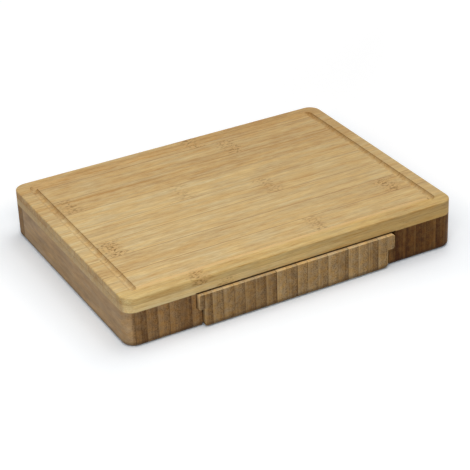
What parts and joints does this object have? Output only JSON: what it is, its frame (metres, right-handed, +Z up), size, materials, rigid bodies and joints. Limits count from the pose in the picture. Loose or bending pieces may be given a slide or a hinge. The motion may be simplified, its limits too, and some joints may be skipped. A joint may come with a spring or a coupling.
{
  "type": "cheese board",
  "caption": "Bamboo cheese board with a juice groove round its top and a T-shaped drawer in its darker base that holds small cheese tools.",
  "frame": {"origin": "centre of the underside, on the table", "axes": "+X along the long side, to the right as seen from the drawer; +Y from the drawer front to the back; +Z up"},
  "size_m": [0.25, 0.187, 0.036],
  "materials": {
    "top_bamboo": "oiled honey-coloured bamboo, flat strips, satin",
    "under_bamboo": "oiled pale bamboo, satin",
    "base_bamboo": "steamed dark bamboo, strips on edge, satin",
    "drawer_bamboo": "steamed bamboo, strips on edge, satin",
    "handle_bamboo": "oiled bamboo, rounded and sanded",
    "blade_steel": "satin stainless steel with ground edges",
    "bolster_steel": "polished stainless steel"
  },
  "bodies": {
    "board": {"top_plank_1": "top_bamboo", "top_plank_2": "top_bamboo", "top_plank_3": "top_bamboo", "top_plank_4": "top_bamboo", "top_plank_5": "top_bamboo", "top_plank_6": "top_bamboo", "top_plank_7": "top_bamboo", "top_plank_8": "top_bamboo", "top_plank_9": "top_bamboo", "under_layer": "under_bamboo", "left_base_strip_1": "base_bamboo", "left_base_strip_2": "base_bamboo", "left_base_strip_3": "base_bamboo", "left_base_strip_4": "base_bamboo", "left_base_strip_5": "base_bamboo", "left_base_strip_6": "base_bamboo", "right_base_strip_1": "base_bamboo", "right_base_strip_2": "base_bamboo", "right_base_strip_3": "base_bamboo", "right_base_strip_4": "base_bamboo", "right_base_strip_5": "base_bamboo", "right_base_strip_6": "base_bamboo", "left_ledge": "base_bamboo", "right_ledge": "base_bamboo", "back_rail": "base_bamboo"},
    "drawer": {"drawer_strip_01": "drawer_bamboo", "drawer_strip_02": "drawer_bamboo", "drawer_strip_03": "drawer_bamboo", "drawer_strip_04": "drawer_bamboo", "drawer_strip_05": "drawer_bamboo", "drawer_strip_06": "drawer_bamboo", "drawer_strip_07": "drawer_bamboo", "drawer_strip_08": "drawer_bamboo", "drawer_strip_09": "drawer_bamboo", "drawer_strip_10": "drawer_bamboo", "drawer_strip_11": "drawer_bamboo", "drawer_strip_12": "drawer_bamboo", "drawer_strip_13": "drawer_bamboo", "drawer_strip_14": "drawer_bamboo", "drawer_strip_15": "drawer_bamboo", "drawer_strip_16": "drawer_bamboo", "drawer_strip_17": "drawer_bamboo", "drawer_strip_18": "drawer_bamboo", "left_drawer_runner": "drawer_bamboo", "right_drawer_runner": "drawer_bamboo", "spade_blade": "blade_steel", "spade_bolster": "bolster_steel", "spade_handle": "handle_bamboo", "prong_blade": "blade_steel", "prong_bolster": "bolster_steel", "prong_handle": "handle_bamboo", "chisel_blade": "blade_steel", "chisel_bolster": "bolster_steel", "chisel_handle": "handle_bamboo", "fork_blade": "blade_steel", "fork_bolster": "bolster_steel", "fork_handle": "handle_bamboo"}
  },
  "joints": [
    {"name": "drawer_slide", "type": "slide", "parent": "board", "child": "drawer", "axis": [0, -1, 0], "range_m": [0, 0.155]}
  ]
}
